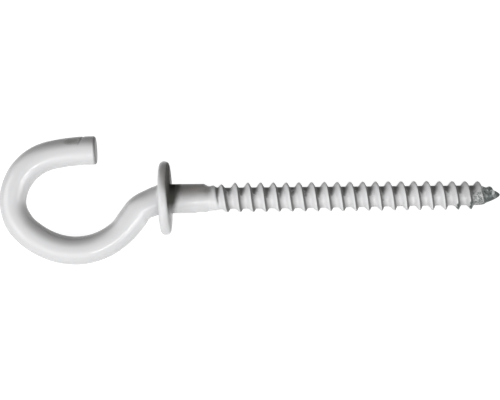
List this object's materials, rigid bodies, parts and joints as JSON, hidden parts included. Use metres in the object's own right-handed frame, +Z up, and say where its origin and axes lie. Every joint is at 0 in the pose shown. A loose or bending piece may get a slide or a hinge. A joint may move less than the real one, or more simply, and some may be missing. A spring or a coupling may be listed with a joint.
{
  "type": "screw hook",
  "caption": "Round wire bent to an open rounded hook, with a round collar at its neck and a straight shank that ends in a coarse wood-screw thread and a sharp gimlet point.",
  "frame": {"origin": "centre of the footprint's bounding box, on the flat surface that the hook lies on", "axes": "+X runs from the hook's back to the screw's point and is the longest extent; +Z is up from the surface; the open side of the hook is towards +Y and the plane of the hook leans 34 degrees about the screw"},
  "size_m": [0.1, 0.0224, 0.0168],
  "materials": {
    "coated_steel": "glossy white coating, worn to bare metal at the point"
  },
  "bodies": {
    "root": {"screw_hook": "coated_steel"}
  },
  "joints": []
}
